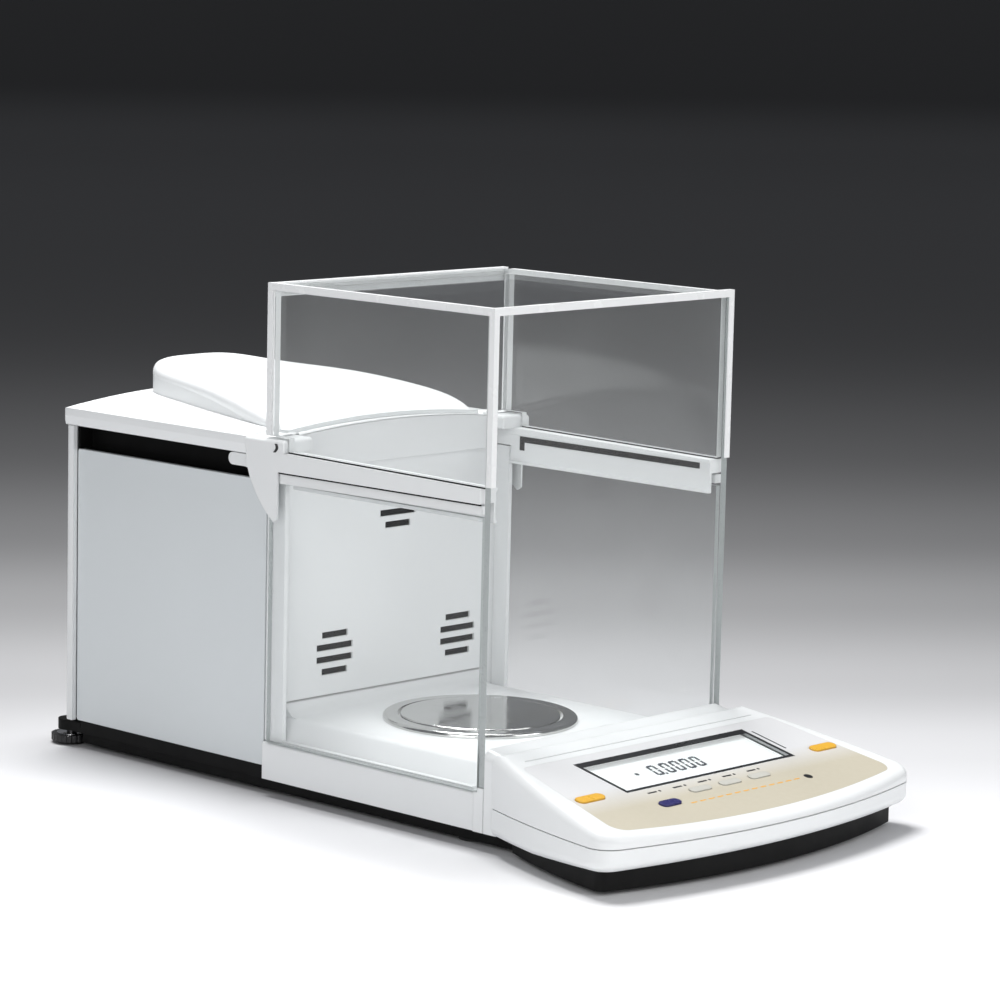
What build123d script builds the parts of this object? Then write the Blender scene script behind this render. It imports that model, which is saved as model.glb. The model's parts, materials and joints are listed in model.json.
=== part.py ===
from build123d import *
import math
import os

# Analytical balance with a glass draft shield, a rear weigh cell housing and a keypad unit in front.
# Millimetres. +Z is up, +X is right, and the user stands on the -Y side.
# Everything is laid out from the shield: Y = 0 is the outer face of the front pane and Z = 0 is the
# underside of the base. The export moves it so that the origin is the bottom centre of the box.

# ---- driving dimensions ----
CHAMBER_HALF = 95.0          # half width over the shield's side panes
CHAMBER_DEPTH = 170.6        # front pane to the chamber's rear wall
HOOD_TOP = 278.0             # top edge of the shield
FOOT_HEIGHT = 10.0           # bench to the underside of the base
DISPLAY_REACH = 132.0        # keypad unit ahead of the front pane
FOOT_REACH = 361.0           # back of the levelling wheels
HOUSING_REAR = 343.4         # back of the housing
SHELL = 2.5                  # moulded wall thickness

# ---- base ----
BASE_SIDE = 21.0             # height of the low side walls beside the chamber
FLOOR_TOP = 33.5             # chamber floor
SILL_DEPTH = 10.0            # cross piece ahead of the front pane
SILL_TOP = 45.2              # its top edge at the pane
DISPLAY_BACK = -10.4         # rear face of the keypad unit
BASE_PLATE_LOW = -1.5
BASE_PLATE_HIGH = 1.5
PLINTH_LOW = -7.5            # lower edge of the black plinth
PLINTH_INSET = 8.0           # plinth behind the keypad unit's edge

# ---- glass ----
PANE = 4.0                   # shield glass
DOOR_PANE = 3.0              # sliding door glass
DOOR_INNER = 92.5            # inner face of a side door's glass
DOOR_LOW = 21.6
DOOR_FRONT = 5.0
DOOR_REAR = 168.0
TOP_DOOR_LOW = 273.9
TOP_DOOR_HIGH = 276.9
TRIM_SKIN = 0.9
TRIM_LEG = 3.8
TRIM_HEIGHT = 4.0            # height of the top edge strips

# ---- rails and the slot in the housing's side ----
ARM_INNER = 86.0
ARM_OUTER = 98.4
ARM_TOP_REAR = 185.2
ARM_TOP_FRONT = 183.1
ARM_LOW = 174.6
ARM_FRONT = 4.6
ARM_REAR = 184.4
SKIRT_INNER = 85.1           # beads on the rail's inner side
SKIRT_LOW = 164.2            # lower edge of the rail's inner skirt
SLIDER_LOW = 174.0
SLIDER_HIGH = 181.1
SLIDER_REAR = 203.0
RAIL_LOW_REAR = 167.9
RAIL_LOW_FRONT = 169.3
SLOT_LOW = 167.6
SLOT_HIGH = 181.5
PANEL_OUTER = 91.6
PANEL_INNER = 88.6

# ---- housing ----
HOUSING_FRONT = 174.4
LID_HALF = 96.5
LID_EDGE = 191.5
LID_CROWN = 198.5
ARCH_HALF = 75.5
ARCH_EDGE = 192.0
ARCH_CROWN = 196.0
FIN_INNER = 88.0             # upright fins at the ends of the chamber's rear wall
FIN_OUTER = 91.0
FIN_FRONT = 160.0
SHOULDER_FRONT = 154.0
SHOULDER_REAR = 186.0
VENT_RADIUS = 14.5
VENT_PITCH = 7.0
VENT_SLOT = 3.6
VENTS = [(-41.0, 65.3), (58.5, 64.2), (7.6, 144.8)]     # X and Z of the round louvres
JACK = (-60.0, -48.0, 30.0, 42.0)                       # X and Z limits of the power socket
PORT = (-30.0, 25.0, 29.0, 42.0)                        # X and Z limits of the data socket
LEVEL_X = 62.0
LEVEL_Y = 322.0
# The lid's hump: Y, half width, top of its side wall, crown and squareness of the section.
HUMP = [
    (338.0, 32.0, 207.5, 216.8, 3.5),
    (325.0, 41.0, 206.5, 216.7, 3.5),
    (300.0, 49.0, 205.5, 214.6, 4.0),
    (275.0, 56.0, 204.0, 213.2, 5.0),
    (240.0, 65.0, 200.3, 210.6, 6.0),
    (210.0, 72.0, 195.2, 207.0, 6.0),
    (190.0, 75.0, 192.0, 202.6, 6.0),
    (HOUSING_FRONT, ARCH_HALF, ARCH_EDGE, ARCH_CROWN + 0.4, 2.0),
]
SCREW_PLACES = [(x, y) for x in (-72, 72) for y in (190, 255, 300)]

# ---- weighing parts ----
PAN_Y = 94.6
PAN_RADIUS = 45.0
PAN_TOP = 36.9
RING_RADIUS = 55.0
STEM_RADIUS = 5.0
BEAM_Z = 53.0
PIVOT_Y = 249.0              # the beam's pin
PIN_RADIUS = 2.0
COIL_Y = 302.0
WEIGHT_Y = 196.0             # calibration weight
WEIGHT_Z = 105.0
WEIGHT_RADIUS = 10.0
JOURNAL_RADIUS = 4.0
LIFT = 3.9                   # travel of the calibration lift
LEAD_SCREW_Y = 231.0

# ---- keypad unit ----
TOP_SLOPE = 0.22             # fall of the keypad towards the user, per mm
TOP_AT_PANE = 48.3           # height of the sloped top carried on to the front pane
SEAM = 16.0                  # height of the joint between the two shells
KEEL_START = -50.0           # the underside rises from here to the front
KEEL_RISE = 5.5
KEY_TRAVEL_GAP = 0.25
KEYPAD_Y = -58.0             # the keypad frame's origin, in the middle of the display
LCD_HALF = 68.5
LCD_DEPTH = 39.0
BOARD_TOP = -10.4            # keypad board, below the sloped top
KEYPAD = Plane(
    origin=(0, KEYPAD_Y, TOP_AT_PANE + TOP_SLOPE * KEYPAD_Y),
    x_dir=(1, 0, 0),
    z_dir=(0, -TOP_SLOPE, 1),
)

# Keys in the keypad's frame: X, distance up the slope, length and depth.
TARE_KEYS = [(x, -17.5, 20.0, 6.4) for x in (-95.0, 95.0)]
POWER_KEY = (-56.0, -38.6, 15.0, 6.0)
SOFT_KEYS = [(-24.0 + 24.0 * n, -31.5, 16.0, 5.0) for n in range(3)]
ALL_KEYS = TARE_KEYS + [POWER_KEY] + SOFT_KEYS

# ---- levelling feet ----
FOOT_X = 84.0
FOOT_Y = FOOT_REACH - 12.0
FOOT_WHEEL = 12.0
THREAD = 3.0
RUNNING_GAP = 0.05           # radial gap of a pin or a thread in its bore

# The layout's zero in the finished part's frame.
DATUM = Pos(0, (DISPLAY_REACH - FOOT_REACH) / 2, FOOT_HEIGHT)


# ---- small helpers ----
def block(x0, x1, y0, y1, z0, z1):
    """A box between two corners."""
    centre = Pos((x0 + x1) / 2, (y0 + y1) / 2, (z0 + z1) / 2)
    return centre * Box(abs(x1 - x0), abs(y1 - y0), abs(z1 - z0))


def rod(x, y, z0, z1, radius):
    """An upright round bar."""
    return Pos(x, y, (z0 + z1) / 2) * Cylinder(radius, z1 - z0)


def rod_y(x, z, y0, y1, radius):
    """A round bar along Y."""
    return Pos(x, (y0 + y1) / 2, z) * Rot(90, 0, 0) * Cylinder(radius, y1 - y0)


def rod_x(y, z, x0, x1, radius):
    """A round bar along X."""
    return Pos((x0 + x1) / 2, y, z) * Rot(0, 90, 0) * Cylinder(radius, x1 - x0)


def side_plate(points, x0, x1):
    """A (Y, Z) outline made solid from x0 to x1."""
    outline = Polyline(*[(x0, y, z) for y, z in points], close=True)
    return extrude(make_face(outline), amount=x1 - x0, dir=(1, 0, 0))


def front_plate(points, y0, y1):
    """An (X, Z) outline made solid from y0 to y1."""
    outline = Polyline(*[(x, y0, z) for x, z in points], close=True)
    return extrude(make_face(outline), amount=y1 - y0, dir=(0, 1, 0))


def floor_plate(points, z0, z1):
    """An (X, Y) outline made solid from z0 to z1."""
    outline = Polyline(*[(x, y, z0) for x, y in points], close=True)
    return extrude(make_face(outline), amount=z1 - z0, dir=(0, 0, 1))


def other_side(shape):
    """The same piece on the other side of the balance."""
    return mirror(shape, about=Plane.YZ)


def both_sides(shape):
    """A piece and its mirror image as one group."""
    return Compound(children=[shape, other_side(shape)])


def group(pieces):
    """Separate solids that share a node."""
    return Compound(children=list(pieces))


def arched_slab(half, edge, crown, low, y0, y1):
    """An upright slab with a flat foot and an arched top."""
    arch = ThreePointArc((-half, y0, edge), (0, y0, crown), (half, y0, edge))
    sides = Polyline((half, y0, edge), (half, y0, low), (-half, y0, low), (-half, y0, edge))
    return extrude(make_face(Wire(arch.edges() + sides.edges())), amount=y1 - y0, dir=(0, 1, 0))


# ---- base ----
def keypad_plinth():
    """Shallow dish under the keypad unit, its rim following the rising underside."""
    rim = Pos(0, 0, PLINTH_LOW) * extrude(display_outline(PLINTH_INSET), amount=20)
    under = [(-140, PLINTH_LOW), (-140, KEEL_RISE - 0.1), (KEEL_START, -0.1), (0, -0.1), (0, PLINTH_LOW)]
    dish = rim & side_plate(under, -200, 200)
    return dish - Pos(0, 0, PLINTH_LOW + 1.5) * extrude(display_outline(PLINTH_INSET + 2), amount=30)


def base_pan():
    """Black tray under everything: a plinth all round, and lugs for the levelling screws."""
    plate = block(-90, 90, 11, 334, BASE_PLATE_LOW, BASE_PLATE_HIGH)
    tongue = block(-70, 70, KEEL_START, 11, BASE_PLATE_LOW, -0.1)
    plinth = block(-88, 88, -20, 334, PLINTH_LOW, -0.1) - block(-86, 86, -18, 332, PLINTH_LOW - 1, 0)
    skirts = both_sides(block(-90, -87, HOUSING_FRONT, 334, BASE_PLATE_HIGH, 6.2))
    lug = block(FOOT_X - 10, FOOT_X + 6, 332, FOOT_Y, BASE_PLATE_LOW, BASE_PLATE_HIGH)
    lug += block(FOOT_X - 10, FOOT_X + 6, 334.5, FOOT_Y, BASE_PLATE_LOW, 4.5)
    lug += rod(FOOT_X, FOOT_Y, BASE_PLATE_LOW, 4.5, 8)
    pan = plate + tongue + plinth + keypad_plinth()
    pan += skirts.solids()[0] + skirts.solids()[1] + lug + other_side(lug)
    for x in (-FOOT_X, FOOT_X):
        pan -= rod(x, FOOT_Y, -3, 8, THREAD + RUNNING_GAP)
    for x, y in SCREW_PLACES:
        pan -= rod(x, y, -3, 3, 1.8)
    return pan


def base_screws():
    """Screws that hold the chassis to the base tray."""
    screws = []
    for x, y in SCREW_PLACES:
        screw = rod(x, y, BASE_PLATE_LOW, 6.5, 1.5) + rod(x, y, -3.2, BASE_PLATE_LOW, 3.2)
        screws.append(screw - Pos(x, y, -3.0) * Box(4.4, 0.8, 1.2))
    return group(screws)


def front_feet():
    """Two fixed rubber feet under the chamber."""
    return both_sides(rod(-76, 24, -FOOT_HEIGHT, BASE_PLATE_LOW, 9))


def base_shell():
    """Low moulded frame around the chamber floor, with a ledge under each side door."""
    outer = block(-CHAMBER_HALF, CHAMBER_HALF, 7.3, 171.8, 0, BASE_SIDE)
    edges = [e for e in outer.edges().filter_by(Axis.Y) if e.center().Z > 1]
    outer = fillet(edges, 1.5)
    hollow = block(-CHAMBER_HALF + 3, CHAMBER_HALF - 3, 10.3, 172, -1, BASE_SIDE - 3)
    opening = block(-78, 78, 20, 172, 10, BASE_SIDE + 1)
    fence = both_sides(block(-91.9, -88.6, 12, 159, BASE_SIDE - 1, BASE_SIDE + 1.6))
    return outer - hollow - opening + fence.solids()[0] + fence.solids()[1]


def chamber_floor():
    """Raised removable floor with soft sides, coved up to the chamber's rear wall."""
    rear = CHAMBER_DEPTH - 0.1
    wide = (87.5, 11.0)
    narrow = (78.5, 17.0)

    def mound(inset, low, high):
        sections = []
        for half, front in (wide, narrow):
            z = low if half == wide[0] else high
            depth = rear - front - 2 * inset
            size = Rectangle(2 * (half - inset), depth)
            sections.append(Pos(0, (front + rear) / 2, z) * size)
        return loft(sections, ruled=True)

    outer = mound(0, BASE_SIDE + 0.1, FLOOR_TOP)
    top = outer.faces().sort_by(Axis.Z)[-1]
    crests = [e for e in top.edges() if e.center().Y < 150]
    outer = fillet(crests, 5)
    cove = block(-78.4, 78.4, rear - 8, rear, FLOOR_TOP - 6, FLOOR_TOP + 8)
    cove -= rod_x(rear - 8, FLOOR_TOP + 8, -80, 80, 8)
    solid = outer + cove
    solid -= mound(SHELL, BASE_SIDE, FLOOR_TOP - SHELL)
    return solid - rod(0, PAN_Y, 20, 40, 11)


def front_sill():
    """Cross piece that grips the foot of the front pane and meets the keypad unit."""
    outline = [(-SILL_DEPTH, 0), (7, 0), (7, 40), (4.3, 40), (4.3, 24)]
    outline += [(-0.3, 24), (-0.3, SILL_TOP), (-SILL_DEPTH, SILL_TOP - TOP_SLOPE * SILL_DEPTH)]
    sill = side_plate(outline, -96, 96)
    ends = [e for e in sill.edges() if e.center().Z > 43 and abs(e.center().X) > 95.9]
    sill = fillet(ends, 6)
    hollow = [(-7.5, -1), (4.5, -1), (4.5, 21), (-2.8, 21), (-2.8, 41.2), (-7.5, 40.2)]
    sill -= side_plate(hollow, -93.5, 93.5)
    for x in (-96, 96):
        sill -= block(x - 0.5, x + 0.5, -0.75, -0.15, -1, 60)
    return sill - both_sides(block(-100, -92.2, PANE + 0.2, 8, BASE_SIDE + 0.4, 41))


# ---- chamber glass ----
def front_pane():
    """Fixed full-height front glass."""
    return block(-CHAMBER_HALF, CHAMBER_HALF, 0, PANE, 24.2, TOP_DOOR_HIGH)


def arm_top(y):
    """Height of a side rail's top edge, which falls slightly to the front."""
    return ARM_TOP_FRONT + (ARM_TOP_REAR - ARM_TOP_FRONT) * (y - ARM_FRONT) / (158 - ARM_FRONT)


def hood_side_pane(top):
    """Fixed upper side glass, notched over the shoulder at its rear lower corner."""
    front = PANE + 0.3
    rear = CHAMBER_DEPTH - PANE - 0.9
    step = SHOULDER_FRONT - 0.6
    outline = [(front, arm_top(front) + 0.8), (step, arm_top(step) + 0.8), (step, 193.6)]
    outline += [(rear, 193.6), (rear, top), (front, top)]
    return side_plate(outline, -CHAMBER_HALF, -CHAMBER_HALF + PANE)


def hood_rear_pane():
    """Fixed upper rear glass standing on the arched rear wall."""
    y0 = CHAMBER_DEPTH - PANE - 0.6
    pane = block(-CHAMBER_HALF, CHAMBER_HALF, y0, y0 + PANE, 180, TOP_DOOR_LOW - 0.2)
    pane -= arched_slab(ARCH_HALF + 0.6, ARCH_EDGE + 0.3, ARCH_CROWN + 0.3, 170, y0 - 1, y0 + PANE + 1)
    return pane - both_sides(block(-100, -ARCH_HALF, y0 - 1, y0 + PANE + 1, 170, 193.6))


def shield_trims():
    """White edge strips: four upright corners and the left and front top edges."""
    reach = CHAMBER_HALF + 1
    inner = reach - TRIM_SKIN
    strip_low = HOOD_TOP - TRIM_HEIGHT
    depth = CHAMBER_DEPTH + 0.4
    post = block(-reach, -inner, -1, -1 + TRIM_LEG, 184.2, strip_low)
    post += block(-reach, -reach + TRIM_LEG, -1, -1 + TRIM_SKIN, 184.2, strip_low)
    rear_post = block(-reach, -inner, depth - TRIM_LEG, depth, 193.7, strip_low)
    rear_post += block(-reach, -reach + TRIM_LEG, depth - TRIM_SKIN, depth, 193.7, TOP_DOOR_LOW - 0.3)
    left = block(-reach, -inner, -1, depth, strip_low, HOOD_TOP)
    left += block(-reach, -reach + TRIM_LEG, -1, depth, HOOD_TOP - TRIM_SKIN, HOOD_TOP)
    front = block(-reach, reach, -1, -1 + TRIM_SKIN, strip_low, HOOD_TOP)
    front += block(-reach, reach, -1, -1 + TRIM_LEG, HOOD_TOP - TRIM_SKIN, HOOD_TOP)
    frame = post + rear_post + left + front + other_side(post)
    return group([frame, other_side(rear_post)])


def top_door_glass():
    """Sliding top glass."""
    return block(-94.7, 90.6, PANE + 0.3, 170.0, TOP_DOOR_LOW, TOP_DOOR_HIGH)


def top_door_grip():
    """White grip strip on the sliding glass's rear edge."""
    rear = CHAMBER_DEPTH + 0.4
    grip = block(-92, 90.6, rear - TRIM_SKIN, rear, 270, HOOD_TOP - 0.1)
    return grip + block(-92, 90.6, rear - 4.5, rear, TOP_DOOR_HIGH, HOOD_TOP - 0.1)


# ---- side doors ----
def door_glass():
    """Lower side glass that slides back past the housing."""
    return block(-DOOR_INNER - DOOR_PANE, -DOOR_INNER, DOOR_FRONT, DOOR_REAR, DOOR_LOW, 167.8)


def door_rail():
    """Head rail on a side door, with the slider bar that runs in the arm and the housing's slot."""
    head = side_plate(
        [
            (DOOR_FRONT, RAIL_LOW_FRONT),
            (DOOR_REAR, RAIL_LOW_REAR),
            (DOOR_REAR, SLIDER_LOW - 0.2),
            (DOOR_FRONT, SLIDER_LOW + 0.2),
        ],
        -96.4,
        -91.7,
    )
    middle = (SLIDER_LOW + SLIDER_HIGH) / 2
    half = (SLIDER_HIGH - SLIDER_LOW) / 2
    slider = block(-94.5, -88.7, 22, SLIDER_REAR - half, SLIDER_LOW, SLIDER_HIGH)
    slider += rod_x(SLIDER_REAR - half, middle, -94.5, -88.7, half)
    neck = block(-94.5, -91.7, 24, 150, SLIDER_LOW - 1, SLIDER_LOW + 1)
    pocket = block(-96, -92, DOOR_FRONT - 1, DOOR_REAR + 1, 160, 168.0)
    return head + slider + neck - pocket


def slot_brush(grow):
    """Dark brush let into the rail's inner skirt, or the slot for it."""
    long = block(-87.8, -86.2, 12 - grow, 150 + grow, 177.2 - grow, 180.6 + grow)
    end = block(-87.8, -86.2, 146 - grow, 150 + grow, 172.4 - grow, 180)
    return long + end


def rail_seals():
    """Black seals on one rail: the glass's bedding on top, a lip below, and the slot's brush."""
    front = PANE + 0.3
    rear = SHOULDER_FRONT - 0.6
    bedding = [(front, arm_top(front) + 0.05), (rear, arm_top(rear) + 0.05)]
    bedding += [(rear, arm_top(rear) + 0.75), (front, arm_top(front) + 0.75)]
    lip = [(ARM_FRONT, ARM_LOW + 0.6), (158, ARM_LOW), (158, ARM_LOW - 0.8), (ARM_FRONT, ARM_LOW - 0.2)]
    return [side_plate(bedding, -95.2, -91.4), side_plate(lip, -98.3, -97.1), slot_brush(0)]


def shoulder_cheek():
    """Shield-shaped plate that hangs from the rail's rear end outside the door."""
    x = -ARM_OUTER
    front = Polyline((x, 162, 146.5), (x, 158.8, 148.4), (x, 158.8, ARM_TOP_REAR))
    back = Polyline((x, 158.8, ARM_TOP_REAR), (x, ARM_REAR, ARM_TOP_REAR), (x, ARM_REAR, 178))
    back += Line((x, ARM_REAR, 178), (x, 180.9, 168.9))
    curve = ThreePointArc((x, 180.9, 168.9), (x, 173.2, 157.2), (x, 162, 146.5))
    return extrude(make_face(Wire(front.edges() + back.edges() + curve.edges())), amount=1.2, dir=(1, 0, 0))


def arm():
    """Hollow rail that carries a side door, in one with the block and the cheek at its rear end."""
    outline = [(ARM_FRONT, ARM_LOW + 0.6), (ARM_FRONT, ARM_TOP_FRONT), (158, ARM_TOP_REAR)]
    outline += [(ARM_REAR, ARM_TOP_REAR), (ARM_REAR, ARM_LOW), (158, ARM_LOW)]
    rail = side_plate(outline, -ARM_OUTER, -ARM_INNER)
    rail += block(-87.8, -ARM_INNER, ARM_FRONT, 157, SKIRT_LOW, ARM_LOW + 1)
    rail += block(-ARM_INNER, -SKIRT_INNER, ARM_FRONT, 157, SKIRT_LOW, SKIRT_LOW + 1.6)
    lip = [(ARM_FRONT, 181.2), (ARM_FRONT, ARM_TOP_FRONT), (158, ARM_TOP_REAR), (158, 181.2)]
    rail += side_plate(lip, -ARM_INNER, -SKIRT_INNER)
    rail -= block(-96.9, -87.8, 19, ARM_REAR + 1, 160, 181.9)
    rail -= slot_brush(0.05) + Pos(1, 0, 0) * slot_brush(0.05)
    crown = [(-76.3, ARM_TOP_REAR - 0.2), (-76.3, 193), (-ARM_OUTER, 192)]
    crown.append((-ARM_OUTER, ARM_TOP_REAR - 0.2))
    top = front_plate(crown, SHOULDER_FRONT, SHOULDER_REAR)
    top = fillet(top.edges().filter_by(Axis.Z), 1.2)
    brow = [e for e in top.edges().filter_by(Axis.Y) if e.center().Z > 191 and e.center().X < -98]
    top = fillet(brow, 2)
    leg = block(-79.4, -76.3, 175, SHOULDER_REAR, 120, 186)
    return rail + top + shoulder_cheek() + leg


# ---- housing ----
def rear_wall():
    """Chamber rear wall with a fin at each end, three vents and an arched top."""
    fin = [(-FIN_OUTER, 174), (-FIN_OUTER, FIN_FRONT), (-FIN_INNER, FIN_FRONT)]
    fin += [(-FIN_INNER, CHAMBER_DEPTH), (0, CHAMBER_DEPTH), (0, 173.8), (-FIN_INNER, 173.8)]
    half = floor_plate(fin + [(-FIN_INNER, 174)], BASE_SIDE + 0.2, 173.6)
    wall = half + other_side(half)
    wall += arched_slab(ARCH_HALF, ARCH_EDGE, ARCH_CROWN, 173.0, CHAMBER_DEPTH - 5.0, 174)
    for x, z in VENTS:
        wall -= rod_y(x, z, 171.8, 175, VENT_RADIUS + 2)
        for row in range(4):
            height = z + (row - 1.5) * VENT_PITCH
            reach = math.sqrt(VENT_RADIUS**2 - (height - z) ** 2)
            wall -= block(x - reach, x + reach, 168, 176, height - VENT_SLOT / 2, height + VENT_SLOT / 2)
    return wall


def vent_filters():
    """Dark filter discs in the pockets behind the vents."""
    return group([rod_y(x, z, 171.85, 175.5, VENT_RADIUS + 1.8) for x, z in VENTS])


def side_panel():
    """Painted side panel below the slot, set back so that the door can pass outside it."""
    panel = block(-PANEL_OUTER, -PANEL_INNER, HOUSING_FRONT, 335.6, 6.5, SLOT_LOW)
    return fillet(panel.edges().filter_by(Axis.X), 1.5)


def rear_panel():
    """Moulded back with openings for the sockets and a grille."""
    panel = block(-94.8, 94.8, 336, HOUSING_REAR, 6.5, SLOT_HIGH - 0.3)
    corners = [e for e in panel.edges().filter_by(Axis.Z) if e.center().Y > 340]
    panel = fillet(corners, 4)
    panel -= block(-91.8, 91.8, 335, HOUSING_REAR - 3, 0, 200)
    for x0, x1, z0, z1 in (JACK, PORT):
        panel -= block(x0 - 0.3, x1 + 0.3, 330, 350, z0 - 0.3, z1 + 0.3)
    for row in range(8):
        panel -= block(-40, 40, 330, 350, 100 + 6 * row, 102.5 + 6 * row)
    return panel


def rear_sockets():
    """Round power inlet and a wide data socket."""
    middle_x = (JACK[0] + JACK[1]) / 2
    middle_z = (JACK[2] + JACK[3]) / 2
    jack = block(JACK[0], JACK[1], 330.7, 344.2, JACK[2], JACK[3])
    jack -= rod_y(middle_x, middle_z, 333, 345, 3.2)
    jack += rod_y(middle_x, middle_z, 332, 342.5, 1.0)
    port = block(PORT[0], PORT[1], 330.7, 344.4, PORT[2], PORT[3])
    port -= block(PORT[0] + 7, PORT[1] - 7, 338.4, 345, PORT[2] + 2.5, PORT[3] - 2.5)
    screws = [rod_y(x, 35.5, 344.4, 348.4, 2.6) for x in (PORT[0] + 3.3, PORT[1] - 3.3)]
    return group([jack, port] + screws)


def fairing(inset):
    """Hump on the lid that grows wider and lower towards the chamber."""
    reaches = (1.0, 0.985, 0.94, 0.85, 0.7, 0.4)
    sections = []
    for y, half, wall_top, crown, squareness in HUMP:
        h = half - inset
        low = wall_top - inset
        rise = crown - wall_top
        power = 1.0 if squareness == 2.0 else 1 / squareness
        right = [(u * h, y, low + rise * (1 - u**squareness) ** power) for u in reaches]
        left = [(-x, y, z) for x, y, z in right]
        roof = Spline(*left, (0, y, low + rise), *reversed(right))
        walls = Polyline((h, y, low), (h, y, 186), (-h, y, 186), (-h, y, low))
        sections.append(make_face(Wire(roof.edges() + walls.edges())))
    return loft(sections)


def lid():
    """Crowned housing lid with the fairing moulded on, hollow below."""
    def crowned(half, low_half, low, lip, edge, crown, y0, y1):
        arch = ThreePointArc((-half, y0, edge), (0, y0, crown), (half, y0, edge))
        sides = Polyline(
            (half, y0, edge), (half, y0, lip), (low_half, y0, low),
            (-low_half, y0, low), (-half, y0, lip), (-half, y0, edge),
        )
        return extrude(make_face(Wire(arch.edges() + sides.edges())), amount=y1 - y0, dir=(0, 1, 0))

    top = crowned(LID_HALF, 94.5, SLOT_HIGH, 187.2, LID_EDGE, LID_CROWN, HOUSING_FRONT, HOUSING_REAR)
    rear_edges = [e for e in top.faces().sort_by(Axis.Y)[-1].edges() if e.center().Z > 188]
    top = fillet(rear_edges, 2.5)
    whole = top + fairing(0)
    inside = crowned(
        LID_HALF - 3, 91.8, SLOT_HIGH - 1, 186.5, LID_EDGE - 3, LID_CROWN - SHELL,
        HOUSING_FRONT - 1, HOUSING_REAR - 3,
    )
    hump = fairing(SHELL) & block(-100, 100, HOUSING_FRONT + SHELL, HUMP[0][0] - SHELL, 180, 230)
    whole = whole - inside - hump
    whole -= both_sides(block(-110, -ARCH_HALF - 0.4, 170, SHOULDER_REAR + 0.5, 175, 215))
    whole -= rod(LEVEL_X, LEVEL_Y, 180, 210, 8.3)
    return whole - rod(LEVEL_X, LEVEL_Y, 193.6, 210, 11.2)


def level_vial():
    """Round bubble level in a collar, let into the lid's rear corner."""
    collar = rod(LEVEL_X, LEVEL_Y, 193.7, 196.2, 11) - rod(LEVEL_X, LEVEL_Y, 190, 200, 8.2)
    vial = rod(LEVEL_X, LEVEL_Y, 188.5, 195.9, 8.0)
    return group([collar, vial])


def slot_guides():
    """Dark channel liners in the housing's side slots."""
    liner = block(-81.5, -80, 185.2, 335.6, 166, 183)
    liner += block(-88.2, -80, 185.2, 335.6, 166, 167.4)
    liner += block(-90.0, -80, 185.2, 335.6, 181.7, 183)
    liner += block(-91.4, -80, 334.4, 335.6, 167.7, 183)
    return both_sides(liner)


def chassis():
    """Cast frame inside the housing."""
    plate = block(-84, 84, 178, 334, BASE_PLATE_HIGH, 7.5)
    frame = plate
    for x in (-69, 69):
        for y in (180, 306):
            frame += block(x - 5, x + 5, y, y + 8, 7, 181)
        frame += block(x - 5, x + 5, 180, 314, 173, 181)
    for x, y in SCREW_PLACES:
        frame -= rod(x, y, 0, 6.8, 1.6)
    return frame


# ---- weigh cell ----
def shield_ring():
    """Polished ring around the pan that keeps drafts out from under it."""
    ring = rod(0, PAN_Y, FLOOR_TOP + 0.1, FLOOR_TOP + 2.9, RING_RADIUS)
    ring = fillet(ring.faces().sort_by(Axis.Z)[-1].edges(), 2.0)
    return ring - rod(0, PAN_Y, 30, 40, PAN_RADIUS + 1.6)


def pan():
    """Stainless weighing pan with a turned-down rim."""
    dish = rod(0, PAN_Y, PAN_TOP - 2.2, PAN_TOP, PAN_RADIUS)
    dish = fillet(dish.faces().sort_by(Axis.Z)[-1].edges(), 0.9)
    return dish - rod(0, PAN_Y, PAN_TOP - 3, PAN_TOP - 1.2, PAN_RADIUS - 1.2)


def pan_carrier():
    """Arm under the floor with the stem and the spider that hold the pan up."""
    bar = block(-9, 9, PAN_Y - 9, 214, 9, 15)
    bar -= block(-5, 5, PAN_Y + 12, 196, 8, 16)
    stem = rod(0, PAN_Y, 14, 34.6, STEM_RADIUS)
    spider = block(-32, 32, PAN_Y - 3, PAN_Y + 3, 34.5, 35.6)
    spider += block(-3, 3, PAN_Y - 32, PAN_Y + 32, 34.5, 35.6)
    return bar + stem + spider


def load_receiver():
    """The pan's carrier, and the upright with the coupling strip and the weight's cradle."""
    post = block(-10, 10, 204, 214, 15.05, 88)
    nose = block(-4, 4, 213, 224, 66, 70)
    strip = block(-3, 3, 219.8, 220.3, BEAM_Z + 4.2, 67)
    low = WEIGHT_Z - LIFT
    cradle = block(-20, 20, WEIGHT_Y - 10, 214, 88, low - WEIGHT_RADIUS - 0.1)
    for x in (-17, 17):
        cradle += block(x - 2, x + 2, WEIGHT_Y - 9, WEIGHT_Y + 9, 90, 97)
        cradle -= rod_x(WEIGHT_Y, low, x - 3, x + 3, WEIGHT_RADIUS + 0.1)
    return group([pan_carrier(), post + nose + strip + cradle])


def guide_arms():
    """Upper and lower parallel guides between the column and the load receiver."""
    guides = []
    for z in (24, 82):
        plate = floor_plate([(-12, 215.6), (12, 215.6), (30, 261.8), (-30, 261.8)], z, z + 2)
        plate -= floor_plate([(-6, 224), (6, 224), (19, 253), (-19, 253)], z - 1, z + 3)
        guides.append(plate)
    return group(guides)


def cell_base():
    """Cast foot and column of the weigh cell, with the beam's yoke and the light barrier."""
    foot = block(-32, 32, 218, 327, 7.5, 16)
    column = block(-32, 32, 262, 276, 15, 96)
    column -= block(-9, 9, 261, 277, BEAM_Z - 8, BEAM_Z + 8)
    yoke = block(-14, 14, PIVOT_Y - 4, PIVOT_Y + 4, 15, BEAM_Z + 6)
    yoke -= block(-6, 6, PIVOT_Y - 5, PIVOT_Y + 5, BEAM_Z - 6, BEAM_Z + 7)
    yoke -= rod_x(PIVOT_Y, BEAM_Z, -15, 15, PIN_RADIUS + RUNNING_GAP)
    return group([foot + column + yoke, position_sensor()])


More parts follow.
